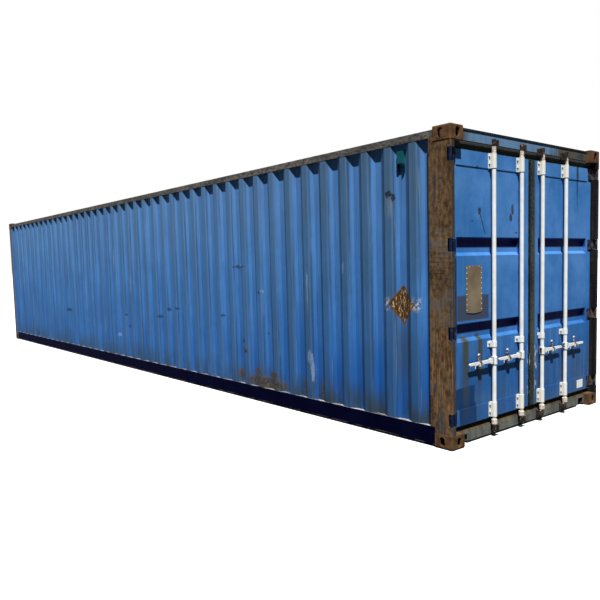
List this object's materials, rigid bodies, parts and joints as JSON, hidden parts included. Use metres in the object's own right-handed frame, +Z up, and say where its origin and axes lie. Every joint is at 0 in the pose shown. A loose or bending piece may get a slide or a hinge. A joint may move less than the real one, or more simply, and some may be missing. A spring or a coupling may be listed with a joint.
{
  "type": "shipping container",
  "caption": "Long steel freight container with corrugated walls, twin swinging end doors, turning lock rods with lift-up handles, cast corner fittings and a plywood floor.",
  "frame": {"origin": "under the middle of the box, at the lower faces of the bottom corner fittings", "axes": "+X along the length towards the doors, +Y towards the right side seen facing forwards from the doors, +Z up"},
  "size_m": [12.192, 2.438, 2.591],
  "materials": {
    "blue_wall": "weathered satin paint",
    "blue_door": "weathered satin paint",
    "dark_rail": "dirty satin paint",
    "rusty_post": "paint under heavy rust",
    "cast_steel": "rusty casting",
    "pale_gear": "worn pale coating",
    "dark_steel": "rusty forging",
    "gasket": "dull",
    "plywood": "worn",
    "vent_plastic": "dull"
  },
  "bodies": {
    "box": {"bottom_corner_fittings": "cast_steel", "top_corner_fittings": "cast_steel", "bottom_rail_left": "dark_rail", "bottom_rail_right": "dark_rail", "top_rail_left": "rusty_post", "top_rail_right": "rusty_post", "front_post_left": "blue_wall", "front_post_right": "blue_wall", "rear_post_left": "rusty_post", "rear_post_right": "rusty_post", "front_sill": "dark_rail", "front_header": "rusty_post", "door_sill": "dark_rail", "door_header": "blue_door", "left_wall": "blue_wall", "right_wall": "blue_wall", "front_wall": "blue_wall", "roof": "blue_wall", "floor": "plywood", "cross_members": "dark_rail", "gooseneck_tunnel": "dark_rail", "header_keepers": "dark_steel", "sill_keepers": "dark_steel", "hinge_pins": "dark_steel", "vents": "vent_plastic"},
    "left_door": {"left_door_frame": "blue_door", "left_door_panel": "blue_door", "left_door_gasket": "gasket", "left_door_hinges": "blue_door", "left_door_brackets": "pale_gear", "left_door_catches": "pale_gear"},
    "rod_left_inner": {"rod_left_inner": "pale_gear"},
    "handle_left_inner": {"handle_left_inner": "pale_gear"},
    "rod_left_outer": {"rod_left_outer": "pale_gear"},
    "handle_left_outer": {"handle_left_outer": "pale_gear"},
    "right_door": {"right_door_frame": "blue_door", "right_door_panel": "blue_door", "right_door_gasket": "gasket", "right_door_hinges": "blue_door", "right_door_brackets": "pale_gear", "right_door_catches": "pale_gear"},
    "rod_right_inner": {"rod_right_inner": "pale_gear"},
    "handle_right_inner": {"handle_right_inner": "pale_gear"},
    "rod_right_outer": {"rod_right_outer": "pale_gear"},
    "handle_right_outer": {"handle_right_outer": "pale_gear"}
  },
  "joints": [
    {"name": "left_door_swing", "type": "hinge", "parent": "box", "child": "left_door", "pos_m": [6.079, -1.202, 1.3], "axis": [0, 0, -1], "range_deg": [0, 265]},
    {"name": "rod_left_inner_turn", "type": "hinge", "parent": "left_door", "child": "rod_left_inner", "pos_m": [6.07, -0.175, 1.3], "axis": [0, 0, -1], "range_deg": [-100, 0]},
    {"name": "handle_left_inner_lift", "type": "hinge", "parent": "rod_left_inner", "child": "handle_left_inner", "pos_m": [6.07, -0.218, 0.666], "axis": [-1, 0, 0], "range_deg": [0, 20]},
    {"name": "rod_left_outer_turn", "type": "hinge", "parent": "left_door", "child": "rod_left_outer", "pos_m": [6.07, -0.6, 1.3], "axis": [0, 0, -1], "range_deg": [-100, 0]},
    {"name": "handle_left_outer_lift", "type": "hinge", "parent": "rod_left_outer", "child": "handle_left_outer", "pos_m": [6.07, -0.643, 0.666], "axis": [-1, 0, 0], "range_deg": [0, 20]},
    {"name": "right_door_swing", "type": "hinge", "parent": "box", "child": "right_door", "pos_m": [6.079, 1.202, 1.3], "axis": [0, 0, 1], "range_deg": [0, 265]},
    {"name": "rod_right_inner_turn", "type": "hinge", "parent": "right_door", "child": "rod_right_inner", "pos_m": [6.07, 0.175, 1.3], "axis": [0, 0, 1], "range_deg": [-100, 0]},
    {"name": "handle_right_inner_lift", "type": "hinge", "parent": "rod_right_inner", "child": "handle_right_inner", "pos_m": [6.07, 0.218, 0.666], "axis": [1, 0, 0], "range_deg": [0, 20]},
    {"name": "rod_right_outer_turn", "type": "hinge", "parent": "right_door", "child": "rod_right_outer", "pos_m": [6.07, 0.6, 1.3], "axis": [0, 0, 1], "range_deg": [-100, 0]},
    {"name": "handle_right_outer_lift", "type": "hinge", "parent": "rod_right_outer", "child": "handle_right_outer", "pos_m": [6.07, 0.643, 0.666], "axis": [1, 0, 0], "range_deg": [0, 20]}
  ]
}
